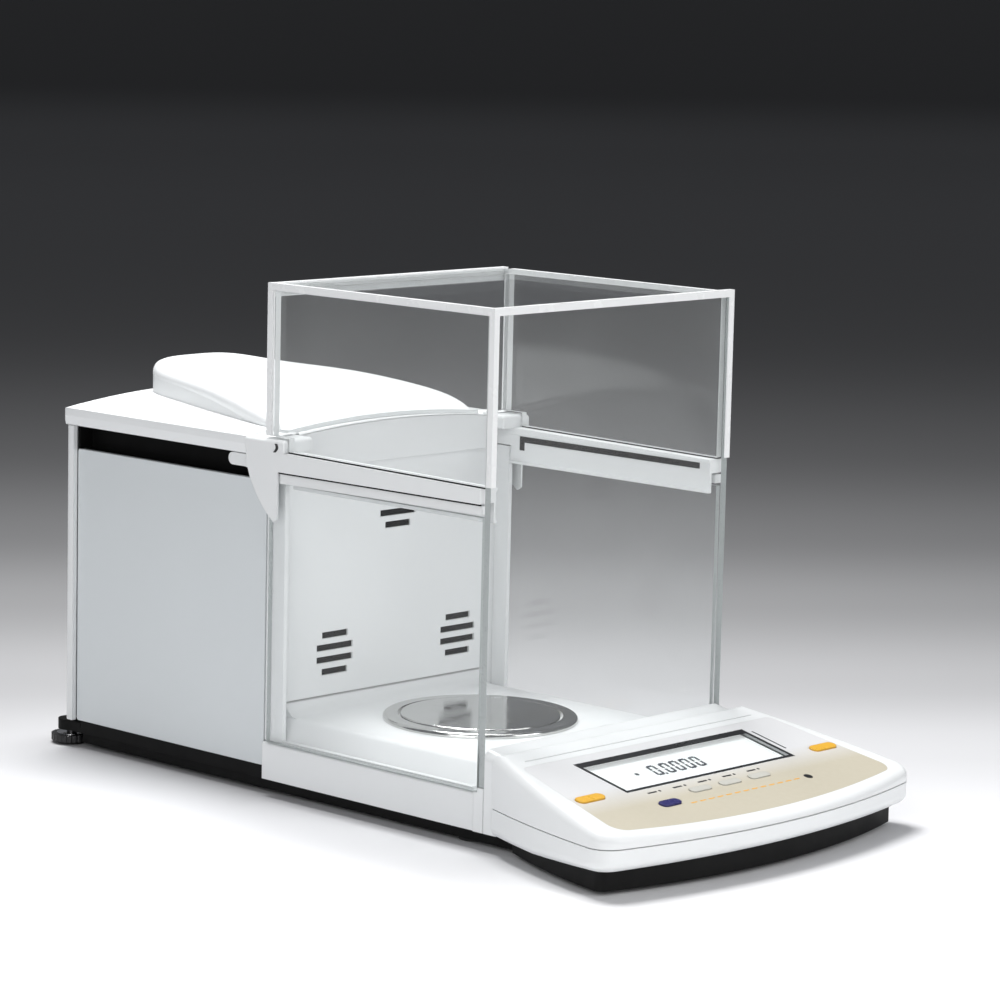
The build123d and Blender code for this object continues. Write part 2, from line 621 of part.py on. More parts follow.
def beam():
    """Lever from the coupling strip to the coil, with its pin in the yoke."""
    lever = block(-4, 4, 216.5, 322, BEAM_Z - 3, BEAM_Z + 3)
    lever -= block(-2, 2, 258, 290, BEAM_Z - 4, BEAM_Z + 4)
    return lever + rod_x(PIVOT_Y, BEAM_Z, -13, 13, PIN_RADIUS)


def force_coil():
    """Coil on a disc under the beam's end, hanging in the magnet's gap."""
    disc = rod(0, COIL_Y, 46.5, BEAM_Z - 3, 13.5)
    winding = rod(0, COIL_Y, 28, 47, 13.5) - rod(0, COIL_Y, 27, 46.5, 12.0)
    return disc + winding


def magnet_pot():
    """Pot magnet with an annular gap."""
    pot = rod(0, COIL_Y, 16, 44, 20.5)
    gap = rod(0, COIL_Y, 22, 45, 15.5) - rod(0, COIL_Y, 21, 46, 10.2)
    return pot - gap


def position_sensor():
    """Fork-shaped light barrier at the beam's end."""
    fork = block(-12, 12, 317, 326.5, 16.05, 62)
    fork -= block(-6, 6, 316, 324, 44, 63)
    return fork - block(-13, 13, 316, 324, 15, 48)


def calibration_weight():
    """Turned calibration weight with a journal at each end."""
    body = rod_x(WEIGHT_Y, WEIGHT_Z, -22, 22, WEIGHT_RADIUS)
    return body + rod_x(WEIGHT_Y, WEIGHT_Z, -30, 30, JOURNAL_RADIUS)


def calibration_fork():
    """Lift fork under the weight's journals, with the nut on the lead screw."""
    fork = block(-30, 30, 222, 238, 96, 101)
    for x in (-27, 27):
        fork += block(x - 3, x + 3, WEIGHT_Y - 6, 238, 96, 101)
        fork += block(x - 3, x + 3, WEIGHT_Y - 6, WEIGHT_Y + 6, 96, 104)
        fork -= rod_x(WEIGHT_Y, WEIGHT_Z, x - 4, x + 4, JOURNAL_RADIUS + RUNNING_GAP)
    return fork - rod(0, LEAD_SCREW_Y, 90, 110, THREAD + RUNNING_GAP)


def calibration_screw():
    """Lead screw of the calibration lift."""
    return rod(0, LEAD_SCREW_Y, 91, 112.9, THREAD)


def calibration_motor():
    """Gear motor above the lead screw, on a bracket from the column."""
    can = rod(0, LEAD_SCREW_Y, 119, 145, 11)
    plate = block(-14, 14, 219, 276, 117, 119)
    plate += block(-14, 14, 262, 276, 96, 118)
    hub = rod(0, LEAD_SCREW_Y, 113.1, 117, 4)
    return can + plate + hub


def main_board():
    """Electronics board on spacers, with its larger components."""
    board = block(-74, 74, 328.6, 330.2, 46, 150)
    cans = [rod_y(x, z, 320, 328.6, 6) for x, z in ((-55, 128), (-38, 128), (52, 70))]
    chips = [block(x, x + 16, 325.6, 328.6, z, z + 16) for x, z in ((-20, 120), (12, 120), (30, 96))]
    blocks = [block(-66, -44, 316, 328.6, 78, 106), block(44, 66, 319, 328.6, 124, 142)]
    spacers = [rod_y(x, z, 330.2, 340.4, 3) for x in (-66, 66) for z in (52, 144)]
    return group([board] + cans + chips + blocks + spacers)


# ---- levelling feet ----
def foot_screw(x):
    """Levelling screw with its knurled wheel."""
    wheel = rod(x, FOOT_Y, -8.3, -4.2, FOOT_WHEEL)
    for step in range(24):
        angle = math.radians(15 * step + 7.5)
        groove = (x + 12.4 * math.cos(angle), FOOT_Y + 12.4 * math.sin(angle))
        wheel -= rod(groove[0], groove[1], -9, -3, 0.9)
    return wheel + rod(x, FOOT_Y, -8.3, 10, THREAD)


def foot_pad(x):
    """Rubber pad under a levelling screw."""
    return rod(x, FOOT_Y, -FOOT_HEIGHT, -8.4, 8.5)


# ---- keypad unit ----
def keypad_block(x0, x1, v0, v1, w0, w1):
    """A box in the keypad's own frame: v runs up the slope and w out of it."""
    centre = Pos((x0 + x1) / 2, (v0 + v1) / 2, (w0 + w1) / 2)
    return KEYPAD * centre * Box(x1 - x0, v1 - v0, w1 - w0)


def display_outline(inset):
    """Plan of the keypad unit: flared sides, round front corners and a bowed front."""
    half = 127.5 - inset
    back = DISPLAY_BACK - inset
    back_half = 100.0 - inset
    corner = -113.0 + inset
    nose = -DISPLAY_REACH + inset
    middle = 114.5 - inset
    right = ThreePointArc((back_half, back), (middle, -54), (half, corner))
    front = ThreePointArc((half, corner), (0, nose), (-half, corner))
    left = ThreePointArc((-half, corner), (-middle, -54), (-back_half, back))
    rear = Line((-back_half, back), (back_half, back))
    plan = make_face(Wire(right.edges() + front.edges() + left.edges() + rear.edges()))
    corners = [v for v in plan.vertices() if v.Y < -80]
    return fillet(corners, 13.0 - inset)


def keel_cut(inset):
    """The wedge cut away where the underside rises to the front."""
    floor = [(KEEL_START, -1), (KEEL_START, inset), (-140, inset + KEEL_RISE), (-140, -1)]
    return side_plate(floor, -200, 200)


def display_body(inset):
    """The keypad unit's outer form, or its hollow when inset by the wall."""
    body = extrude(display_outline(inset), amount=60)
    above = KEYPAD * Pos(0, 0, 50 - inset) * Box(400, 400, 100)
    body -= above
    if inset:
        return body - block(-200, 200, -200, 100, -1, inset) - keel_cut(inset)
    top = body.faces().sort_by(Axis.Z)[-1]
    body = fillet(top.edges(), 5.0)
    body -= keel_cut(0)
    lowest = [f for f in body.faces() if f.center().Z < KEEL_RISE and f.normal_at().Z < -0.9]
    skirt = {e for f in lowest for e in f.edges() if DISPLAY_BACK - 1 > e.center().Y}
    crease = [e for e in skirt if e.bounding_box().size.X > 150 and abs(e.center().Y - KEEL_START) < 0.1]
    return fillet([e for e in skirt if e not in crease], 6.0)


def seam_side(upper):
    """Everything above or below the joint between the two shells."""
    if upper:
        return block(-200, 200, -200, 50, SEAM + 0.25, 100)
    return block(-200, 200, -200, 50, -50, SEAM - 0.25)


def membrane_outline():
    """The keypad foil's area as an upright prism."""
    right = Line((100.5, -31.5), (113.0, -110))
    front = ThreePointArc((113.0, -110), (0, -122), (-113.0, -110))
    left = Line((-113.0, -110), (-100.5, -31.5))
    rear = Line((-100.5, -31.5), (100.5, -31.5))
    plan = make_face(Wire(right.edges() + front.edges() + left.edges() + rear.edges()))
    front_corners = [v for v in plan.vertices() if v.Y < -80]
    plan = fillet(front_corners, 9.0)
    rear_corners = [v for v in plan.vertices() if v.Y > -32]
    return extrude(fillet(rear_corners, 5.0), amount=60)


def key_shape(place, grow, low, high):
    """A round-ended key body in the keypad's frame, larger by grow all round."""
    x, v, length, depth = place
    plan = SlotOverall(length + 2 * grow, depth + 2 * grow)
    return KEYPAD * Pos(x, v, low) * extrude(plan, amount=high - low)


def key_cap(place, proud):
    """A key that stands slightly proud of the foil, with its plunger."""
    cap = key_shape(place, 0, -3.6, proud)
    plunger = KEYPAD * Pos(place[0], place[1], -6.4) * Cylinder(1.6, 6.0)
    return cap + plunger


def window_cut(grow, low, high):
    """The display opening in the keypad's frame."""
    half_depth = LCD_DEPTH / 2 + grow
    return keypad_block(-LCD_HALF - grow, LCD_HALF + grow, -half_depth, half_depth, low, high)


def display_upper_shell():
    """Upper keypad housing with the recess for the foil."""
    shell = display_body(0) - display_body(SHELL)
    shell = shell & seam_side(True)
    recess = membrane_outline() & keypad_block(-200, 200, -100, 100, -1.0, 10)
    shell -= recess
    shell -= keypad_block(-92, 92, 32.2, 33.0, -0.6, 5)
    shell -= window_cut(0.3, -20, 20)
    for place in ALL_KEYS:
        shell -= key_shape(place, KEY_TRAVEL_GAP, -9, 5)
    for x in (-84, 84):
        for v in (-32, 24):
            shell += KEYPAD * Pos(x, v, (BOARD_TOP - 2) / 2) * Cylinder(3, -BOARD_TOP - 2)
    return shell


def display_lower_shell():
    """Lower keypad housing."""
    shell = display_body(0) - display_body(SHELL)
    return shell & seam_side(False)


def keypad_membrane():
    """Printed foil over the sloped top."""
    foil = membrane_outline() & keypad_block(-200, 200, -100, 100, -0.9, 0.0)
    foil -= window_cut(0.3, -5, 5)
    for place in ALL_KEYS:
        foil -= key_shape(place, KEY_TRAVEL_GAP, -5, 5)
    return foil


def display_window():
    """Clear window flush with the foil."""
    return window_cut(0.0, -1.9, -0.1)


def lcd_module():
    """Display module under the window."""
    return keypad_block(-66, 66, -18, 18, -8.4, -2.2)


def display_board():
    """Keypad circuit board with a dome switch under each key."""
    board = keypad_block(-104, 104, -43, -8, BOARD_TOP - 1.6, BOARD_TOP)
    board += keypad_block(-91, 91, -8, 29, BOARD_TOP - 1.6, BOARD_TOP)
    carrier = keypad_block(-60, 60, -15, 15, BOARD_TOP, -8.4)
    return group([board, carrier])


def fitted(shape):
    """A piece as one shape in the finished part's frame."""
    return DATUM * shape


def make_parts():
    """Every node by name."""
    sided = {
        "hood_pane": hood_side_pane(TOP_DOOR_LOW - 0.2),
        "door_glass": door_glass(),
        "door_rail": door_rail(),
        "arm": arm(),
        "side_panel": side_panel(),
    }
    parts = {
        "base_pan": base_pan(),
        "base_screws": base_screws(),
        "front_feet": front_feet(),
        "base_shell": base_shell(),
        "chamber_floor": chamber_floor(),
        "front_sill": front_sill(),
        "front_pane": front_pane(),
        "hood_pane_rear": hood_rear_pane(),
        "shield_trims": shield_trims(),
        "top_door_glass": top_door_glass(),
        "top_door_grip": top_door_grip(),
        "rear_wall": rear_wall(),
        "vent_filters": vent_filters(),
        "rear_panel": rear_panel(),
        "rear_sockets": rear_sockets(),
        "lid": lid(),
        "level_vial": level_vial(),
        "slot_guides": slot_guides(),
        "rail_seals": group(rail_seals() + [other_side(seal) for seal in rail_seals()]),
        "chassis": chassis(),
        "shield_ring": shield_ring(),
        "pan": pan(),
        "load_receiver": load_receiver(),
        "guide_arms": guide_arms(),
        "cell_base": cell_base(),
        "beam": beam(),
        "force_coil": force_coil(),
        "magnet_pot": magnet_pot(),
        "calibration_weight": calibration_weight(),
        "calibration_fork": calibration_fork(),
        "calibration_screw": calibration_screw(),
        "calibration_motor": calibration_motor(),
        "main_board": main_board(),
        "display_upper_shell": display_upper_shell(),
        "display_lower_shell": display_lower_shell(),
        "keypad_membrane": keypad_membrane(),
        "display_window": display_window(),
        "lcd_module": lcd_module(),
        "display_board": display_board(),
        "tare_key_left": key_cap(TARE_KEYS[0], 0.8),
        "tare_key_right": key_cap(TARE_KEYS[1], 0.8),
        "power_key": key_cap(POWER_KEY, 0.8),
    }
    for name, shape in sided.items():
        parts[name + "_left"] = shape
        parts[name + "_right"] = other_side(shape)
    parts["hood_pane_right"] = other_side(hood_side_pane(TOP_DOOR_HIGH))
    for number, place in enumerate(SOFT_KEYS, start=1):
        parts[f"soft_key_{number}"] = key_cap(place, 0.6)
    for side, x in (("left", -FOOT_X), ("right", FOOT_X)):
        parts[f"foot_screw_{side}"] = foot_screw(x)
        parts[f"foot_pad_{side}"] = foot_pad(x)
    return parts


if __name__ == "__main__":
    os.makedirs("parts", exist_ok=True)
    for name, shape in sorted(make_parts().items()):
        export_step(fitted(shape), f"parts/{name}.step")
        print(name)
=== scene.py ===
"""Analytical balance: materials, small printed and fitted details, floor, light and camera."""

import json
import math

import bmesh
import bpy
from mathutils import Matrix, Vector


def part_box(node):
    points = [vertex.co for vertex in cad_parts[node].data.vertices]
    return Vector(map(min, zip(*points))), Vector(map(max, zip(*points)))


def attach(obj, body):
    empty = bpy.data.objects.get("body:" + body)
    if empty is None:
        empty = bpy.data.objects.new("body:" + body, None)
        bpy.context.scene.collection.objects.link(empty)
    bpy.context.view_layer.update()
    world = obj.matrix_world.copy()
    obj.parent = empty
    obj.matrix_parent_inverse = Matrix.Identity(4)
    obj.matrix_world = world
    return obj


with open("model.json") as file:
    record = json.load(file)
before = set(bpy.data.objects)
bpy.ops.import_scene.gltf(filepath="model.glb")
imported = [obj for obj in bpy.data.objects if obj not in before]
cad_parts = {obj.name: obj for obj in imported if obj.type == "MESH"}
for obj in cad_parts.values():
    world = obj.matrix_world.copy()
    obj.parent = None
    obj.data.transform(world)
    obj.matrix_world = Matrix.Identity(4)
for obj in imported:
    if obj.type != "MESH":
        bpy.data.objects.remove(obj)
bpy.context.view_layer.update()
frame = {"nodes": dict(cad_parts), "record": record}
nodes = frame["nodes"]

MM = 0.001

# The camera that matches the photograph: direction, roll, lens, and the point that it stands on.
CAMERA_AZIMUTH = math.radians(-46.58)
CAMERA_ELEVATION = math.radians(8.56)
CAMERA_ROLL = math.radians(1.32)
CAMERA_LENS = 135.7
CAMERA_PLACE = Vector((-1.5019, -1.4525, 0.4803))

# The keypad's sloped top, as a frame: X, up the slope, and out of it.
SLOPE = math.atan(0.22)
UP_SLOPE = Vector((0, math.cos(SLOPE), math.sin(SLOPE)))
OUT_OF_SLOPE = Vector((0, -math.sin(SLOPE), math.cos(SLOPE)))


# ---- node helpers ----
def new_material(name):
    """A material with its tree and its Principled shader."""
    material = bpy.data.materials.new(name)
    material.use_nodes = True
    tree = material.node_tree
    return material, tree, tree.nodes["Principled BSDF"]


def add(tree, kind, **values):
    """A node with its settings: a name with a capital is an input, and the others are properties."""
    node = tree.nodes.new("ShaderNode" + kind)
    for name, value in values.items():
        key = name.replace("_", " ")
        if name[0].isupper():
            node.inputs[key].default_value = value
        else:
            setattr(node, name, value)
    return node


def position(tree):
    """Object coordinates, which are the part's own frame in metres."""
    return add(tree, "TexCoord").outputs["Object"]


def stretched(tree, scale, offset=(0, 0, 0)):
    """Object coordinates, moved by offset and then scaled on each axis."""
    move = add(tree, "VectorMath", operation="ADD")
    tree.links.new(position(tree), move.inputs[0])
    move.inputs[1].default_value = offset
    size = add(tree, "VectorMath", operation="MULTIPLY")
    tree.links.new(move.outputs[0], size.inputs[0])
    size.inputs[1].default_value = scale
    return size.outputs[0]


def noise(tree, scale, detail=2.0, vector=None):
    """Noise between about 0.3 and 0.7."""
    node = add(tree, "TexNoise", Scale=scale, Detail=detail, Roughness=0.55)
    tree.links.new(vector or position(tree), node.inputs["Vector"])
    return node.outputs["Fac"]


def remap(tree, source, low, high, start=0.3, end=0.7):
    """source from start to end becomes low to high."""
    node = add(tree, "MapRange")
    tree.links.new(source, node.inputs["Value"])
    node.inputs["From Min"].default_value = start
    node.inputs["From Max"].default_value = end
    node.inputs["To Min"].default_value = low
    node.inputs["To Max"].default_value = high
    return node.outputs["Result"]


def blend_colours(tree, factor, first, second):
    """A colour from first to second, where either may be a socket."""
    node = add(tree, "Mix", data_type="RGBA")
    tree.links.new(factor, node.inputs["Factor"])
    for index, colour in ((6, first), (7, second)):
        if isinstance(colour, bpy.types.NodeSocket):
            tree.links.new(colour, node.inputs[index])
        else:
            node.inputs[index].default_value = (*colour, 1)
    return node.outputs[2]


def raised(tree, shader, heights, edge=0.0):
    """Bumps on a shader: heights are (source, depth in metres), over edges rounded by edge."""
    normal = None
    if edge:
        bevel = add(tree, "Bevel", Radius=edge, samples=4)
        normal = bevel.outputs["Normal"]
    for source, depth in heights:
        bump = add(tree, "Bump", Strength=1.0, Distance=depth)
        tree.links.new(source, bump.inputs["Height"])
        if normal:
            tree.links.new(normal, bump.inputs["Normal"])
        normal = bump.outputs["Normal"]
    if normal:
        tree.links.new(normal, shader.inputs["Normal"])


def shade(colour, factor):
    """A colour made darker or lighter."""
    return tuple(min(1.0, channel * factor) for channel in colour)


# ---- materials ----
def moulded(
    name, colour, rough=0.42, grain=1500, depth=0.000012, edge=0.0007, coat=0.0, corner_shade=0.04, gloss=0.5,
):
    """Moulded plastic: spark-eroded grain, slow tone changes, and painted shade in the corners."""
    material, tree, shader = new_material(name)
    tone = blend_colours(tree, noise(tree, 7.0, 3.0), shade(colour, 0.965), shade(colour, 1.02))
    # Painted shade: the base colour darkens where ambient occlusion finds corners and creases.
    corners = add(tree, "AmbientOcclusion", Distance=0.006, samples=6)
    painted_shade = remap(tree, corners.outputs["AO"], corner_shade, 0, 0.35, 0.95)
    shaded_tone = blend_colours(tree, painted_shade, tone, shade(colour, 0.35))
    tree.links.new(shaded_tone, shader.inputs["Base Color"])
    tree.links.new(remap(tree, noise(tree, 55, 4.0), rough - 0.05, rough + 0.07), shader.inputs["Roughness"])
    shader.inputs["Specular IOR Level"].default_value = gloss
    shader.inputs["Coat Weight"].default_value = coat
    shader.inputs["Coat Roughness"].default_value = 0.12
    raised(tree, shader, [(noise(tree, grain, 2.0), depth)], edge)
    return material


def key_plastic(name, colour, rough, corner_shade):
    """Smooth plastic of a key cap."""
    return moulded(name, colour, rough=rough, grain=3000, depth=0.000005, corner_shade=corner_shade)


def ink(name, colour, rough, depth=0.000004):
    """Printed ink, with no painted corner shade and no rounded edges."""
    return moulded(name, colour, rough=rough, grain=3000, depth=depth, edge=0, corner_shade=0.0)


def painted(name, colour, rough=0.36, coat=0.25, gloss=0.5):
    """Powder-coated sheet: orange peel over slow waviness."""
    material, tree, shader = new_material(name)
    tone = blend_colours(tree, noise(tree, 5.0, 3.0), shade(colour, 0.97), shade(colour, 1.03))
    tree.links.new(tone, shader.inputs["Base Color"])
    tree.links.new(remap(tree, noise(tree, 80, 3.0), rough - 0.04, rough + 0.06), shader.inputs["Roughness"])
    shader.inputs["Specular IOR Level"].default_value = gloss
    shader.inputs["Coat Weight"].default_value = coat
    shader.inputs["Coat Roughness"].default_value = 0.2
    raised(tree, shader, [(noise(tree, 700, 2.0), 0.00002), (noise(tree, 30), 0.00006)], 0.0008)
    return material


def metal(name, colour, rough, heights, edge=0.0004, spread=0.06, scale=90):
    """Metal with uneven polish and the tool marks in heights, which is a function of the tree."""
    material, tree, shader = new_material(name)
    shader.inputs["Metallic"].default_value = 1.0
    tone = blend_colours(tree, noise(tree, scale / 6, 3.0), shade(colour, 0.93), shade(colour, 1.04))
    tree.links.new(tone, shader.inputs["Base Color"])
    low = max(0.03, rough - spread)
    tree.links.new(remap(tree, noise(tree, scale, 4.0), low, rough + spread), shader.inputs["Roughness"])
    raised(tree, shader, heights(tree), edge)
    return material


def turned(centre, pitch=0.0004, depth=0.0000025):
    """Tool marks in circles round an upright axis."""
    def heights(tree):
        wave = add(
            tree, "TexWave", wave_type="RINGS", rings_direction="Z", Scale=0.05 / pitch, Distortion=1.5,
        )
        tree.links.new(stretched(tree, (1, 1, 1), (-centre[0], -centre[1], 0)), wave.inputs["Vector"])
        return [(wave.outputs["Fac"], depth)]
    return heights


def brushed(scale, depth=0.000004):
    """Straight brush marks, long where scale is small."""
    def heights(tree):
        return [(noise(tree, 1.0, 3.0, stretched(tree, scale)), depth)]
    return heights


def cast(tree):
    """The grain of a casting."""
    return [(noise(tree, 900, 3.0), 0.00003), (noise(tree, 120, 2.0), 0.00005)]


def mirror_share(tree, index):
    """How much a thin pane mirrors at this angle, the same on the way in and on the way out."""
    entering = add(tree, "NewGeometry").outputs["Backfacing"]
    fresnel = add(tree, "Fresnel")
    tree.links.new(remap(tree, entering, index, 1 / index, 0, 1), fresnel.inputs["IOR"])
    return fresnel.outputs[0]


def glass(name, across, edge_light_tone, right_edge_light_tone, mirrored=1.0, blur=0.1, haze=0.0):
    """Clear pane: it passes light straight through and mirrors by angle; its cut edges are ground.

    across is the pane's normal, mirrored scales the reflection and blur roughens it, and haze is the
    share of dusty film on the faces. The ground cut edges carry painted light and shade: one tone where they
    face right, and another elsewhere.
    """
    material, tree, shader = new_material(name)
    # Painted light and shade on the cut edges: their tone changes with the way they face.
    sides = add(tree, "SeparateXYZ")
    tree.links.new(add(tree, "NewGeometry").outputs["True Normal"], sides.inputs[0])
    rightward = remap(tree, sides.outputs["X"], 0, 1, 0.2, 0.6)
    tree.links.new(blend_colours(tree, rightward, edge_light_tone, right_edge_light_tone), shader.inputs["Base Color"])
    tree.links.new(remap(tree, noise(tree, 900, 2.0), 0.25, 0.4), shader.inputs["Roughness"])
    shader.inputs["Specular IOR Level"].default_value = 0.8
    clear = add(tree, "BsdfTransparent", Color=(0.993, 0.997, 0.997, 1))
    if haze:
        dusty = add(tree, "MixShader")
        tree.links.new(remap(tree, noise(tree, 8, 4.0), 0.7 * haze, 1.3 * haze), dusty.inputs[0])
        tree.links.new(clear.outputs[0], dusty.inputs[1])
        tree.links.new(add(tree, "BsdfDiffuse", Color=(0.9, 0.9, 0.9, 1)).outputs[0], dusty.inputs[2])
        clear = dusty
    mirror = add(tree, "BsdfGlossy", Color=(1, 1, 1, 1))
    smears = remap(tree, noise(tree, 14, 4.0), blur, blur + 0.04, 0.45, 0.75)
    tree.links.new(smears, mirror.inputs["Roughness"])
    film = remap(tree, noise(tree, 25, 5.0), 0.0, 0.012, 0.4, 0.75)
    share = add(tree, "Math", operation="MULTIPLY_ADD", use_clamp=True)
    share.inputs[1].default_value = mirrored
    tree.links.new(mirror_share(tree, 1.48), share.inputs[0])
    tree.links.new(film, share.inputs[2])
    pane = add(tree, "MixShader")
    tree.links.new(share.outputs[0], pane.inputs[0])
    tree.links.new(clear.outputs[0], pane.inputs[1])
    tree.links.new(mirror.outputs[0], pane.inputs[2])
    facing = add(tree, "VectorMath", operation="DOT_PRODUCT")
    facing.inputs[1].default_value = across
    tree.links.new(add(tree, "NewGeometry").outputs["True Normal"], facing.inputs[0])
    flat = add(tree, "Math", operation="ABSOLUTE")
    tree.links.new(facing.outputs["Value"], flat.inputs[0])
    is_face = add(tree, "Math", operation="GREATER_THAN")
    is_face.inputs[1].default_value = 0.5
    tree.links.new(flat.outputs[0], is_face.inputs[0])
    whole = add(tree, "MixShader")
    tree.links.new(is_face.outputs[0], whole.inputs[0])
    tree.links.new(shader.outputs[0], whole.inputs[1])
    tree.links.new(pane.outputs[0], whole.inputs[2])
    tree.links.new(whole.outputs[0], tree.nodes["Material Output"].inputs["Surface"])
    return material


def glowing_face(name, colour, painted_glow):
    """The display's pale face, with a painted glow that lightens it, a little uneven."""
    material, tree, shader = new_material(name)
    tone = blend_colours(tree, noise(tree, 30, 2.0), shade(colour, 0.96), colour)
    tree.links.new(tone, shader.inputs["Base Color"])
    # Painted light: the face's own tone is also emitted as a glow.
    tree.links.new(tone, shader.inputs["Emission Color"])
    shader.inputs["Emission Strength"].default_value = painted_glow
    tree.links.new(remap(tree, noise(tree, 400, 2.0), 0.35, 0.45), shader.inputs["Roughness"])
    return material


def foil_material(name, top, band, band_start, band_end):
    """The keypad's printed foil: pale grey behind, warm towards the user, with a fine matt grain."""
    material, tree, shader = new_material(name)
    split = add(tree, "SeparateXYZ")
    tree.links.new(position(tree), split.inputs[0])
    towards_user = remap(tree, split.outputs["Y"], 0, 1, band_start, band_end)
    printed = blend_colours(tree, towards_user, top, band)
    tone = blend_colours(tree, noise(tree, 20, 3.0), (0.97, 0.97, 0.97), (1, 1, 1))
    tinted = add(tree, "Mix", data_type="RGBA", blend_type="MULTIPLY")
    tinted.inputs["Factor"].default_value = 1.0
    tree.links.new(printed, tinted.inputs[6])
    tree.links.new(tone, tinted.inputs[7])
    tree.links.new(tinted.outputs[2], shader.inputs["Base Color"])
    tree.links.new(remap(tree, noise(tree, 300, 3.0), 0.38, 0.5), shader.inputs["Roughness"])
    raised(tree, shader, [(noise(tree, 3500, 1.0), 0.000006)], 0.0003)
    return material


def rubber_material(name, colour):
    """Matt moulded rubber with fine scuffs."""
    material, tree, shader = new_material(name)
    tone = blend_colours(tree, noise(tree, 150, 4.0), shade(colour, 0.8), shade(colour, 1.6))
    tree.links.new(tone, shader.inputs["Base Color"])
    tree.links.new(remap(tree, noise(tree, 200, 4.0), 0.6, 0.8), shader.inputs["Roughness"])
    raised(tree, shader, [(noise(tree, 1200, 3.0), 0.00003)], 0.0006)
    return material


def board_material(name, colour):
    """Solder-resist green with the faint relief of copper tracks."""
    material, tree, shader = new_material(name)
    tracks = add(tree, "TexBrick", Scale=160, Mortar_Size=0.03)
    tree.links.new(stretched(tree, (1, 1, 1)), tracks.inputs["Vector"])
    tone = blend_colours(tree, tracks.outputs["Fac"], shade(colour, 0.8), shade(colour, 1.5))
    tree.links.new(tone, shader.inputs["Base Color"])
    tree.links.new(remap(tree, noise(tree, 120, 3.0), 0.22, 0.4), shader.inputs["Roughness"])
    raised(tree, shader, [(tracks.outputs["Fac"], 0.00003)], 0.0002)
    return material


def vial_material(name, colour):
    """Tinted clear plastic filled with liquid."""
    material, tree, shader = new_material(name)
    shader.inputs["Base Color"].default_value = (*colour, 1)
    shader.inputs["Transmission Weight"].default_value = 0.85
    shader.inputs["IOR"].default_value = 1.4
    tree.links.new(remap(tree, noise(tree, 300, 2.0), 0.03, 0.09), shader.inputs["Roughness"])
    raised(tree, shader, [(noise(tree, 400, 2.0), 0.000004)], 0.0004)
    return material


def clear_plastic(name, rough):
    """Thin clear plastic that lets light straight through and has a soft gloss."""
    material, tree, shader = new_material(name)
    clear = add(tree, "BsdfTransparent", Color=(0.96, 0.97, 0.97, 1))
    gloss = add(tree, "BsdfGlossy", Color=(1, 1, 1, 1))
    tree.links.new(remap(tree, noise(tree, 200, 3.0), rough, rough + 0.05), gloss.inputs["Roughness"])
    whole = add(tree, "MixShader")
    tree.links.new(mirror_share(tree, 1.5), whole.inputs[0])
    tree.links.new(clear.outputs[0], whole.inputs[1])
    tree.links.new(gloss.outputs[0], whole.inputs[2])
    tree.links.new(whole.outputs[0], tree.nodes["Material Output"].inputs["Surface"])
    tree.nodes.remove(shader)
    return material


WHITE = (0.82, 0.835, 0.84)
BRIGHT_WHITE = (0.88, 0.89, 0.895)
PANEL_GREY = (0.68, 0.715, 0.73)
DEEP_BLACK = (0.004, 0.004, 0.004)
PAN_CENTRE = sum(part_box("pan"), Vector()) / 2

MATERIALS = {
    "white_plastic": moulded("white_plastic", WHITE),
    "white_base": moulded("white_base", WHITE, rough=0.34, grain=1900, depth=0.000006, coat=0.2),
    "white_trim": moulded("white_trim", BRIGHT_WHITE, rough=0.25, grain=2500, depth=0.000004, edge=0.0003),
    "grey_panel": painted("grey_panel", PANEL_GREY),
    # Near-black with little gloss: the brush strips under the arms (dark_plastic) and the black tray under
    # the base (black_steel) are real black parts that also stand in as painted shade in the gaps there.
    "dark_plastic": moulded("dark_plastic", DEEP_BLACK, rough=0.6, grain=1200, corner_shade=0.0, gloss=0.12),
    "black_steel": painted("black_steel", DEEP_BLACK, rough=0.55, coat=0.0, gloss=0.15),
    "socket_plastic": moulded("socket_plastic", (0.02, 0.02, 0.022), rough=0.4, grain=2200, corner_shade=0.0),
    "keypad_shell": moulded("keypad_shell", WHITE, rough=0.38, grain=1300, depth=0.00001),
    "keypad_foil": foil_material(
        "keypad_foil", (0.72, 0.72, 0.73), (0.56, 0.515, 0.41),
        PAN_CENTRE.y - 0.163, PAN_CENTRE.y - 0.186,
    ),
    "orange_key": key_plastic("orange_key", (0.80, 0.44, 0.04), 0.3, 0.02),
    "blue_key": key_plastic("blue_key", (0.025, 0.022, 0.13), 0.3, 0.0),
    "grey_key": key_plastic("grey_key", (0.56, 0.55, 0.50), 0.36, 0.02),
    "lcd": glowing_face("lcd", (0.92, 0.93, 0.93), 0.6),
    "circuit_board": board_material("circuit_board", (0.02, 0.13, 0.05)),
    "stainless": metal("stainless", (0.60, 0.60, 0.59), 0.13, turned(PAN_CENTRE), spread=0.05),
    "aluminium": metal("aluminium", (0.66, 0.67, 0.68), 0.42, cast),
    "copper": metal("copper", (0.70, 0.30, 0.14), 0.35, brushed((200, 200, 3500), 0.00006)),
    "magnet_steel": metal("magnet_steel", (0.45, 0.45, 0.46), 0.3, brushed((30, 30, 900))),
    "brass": metal("brass", (0.72, 0.52, 0.20), 0.3, brushed((100, 100, 1200), 0.00003)),
    "motor_steel": metal("motor_steel", (0.5, 0.5, 0.51), 0.28, brushed((60, 60, 700))),
    "rubber": rubber_material("rubber", (0.018, 0.018, 0.018)),
    "foot_plastic": moulded("foot_plastic", (0.016, 0.016, 0.017), rough=0.28, grain=900, corner_shade=0.0),
    "window": clear_plastic("window", 0.02),
    "vial": vial_material("vial", (0.72, 0.85, 0.30)),
}
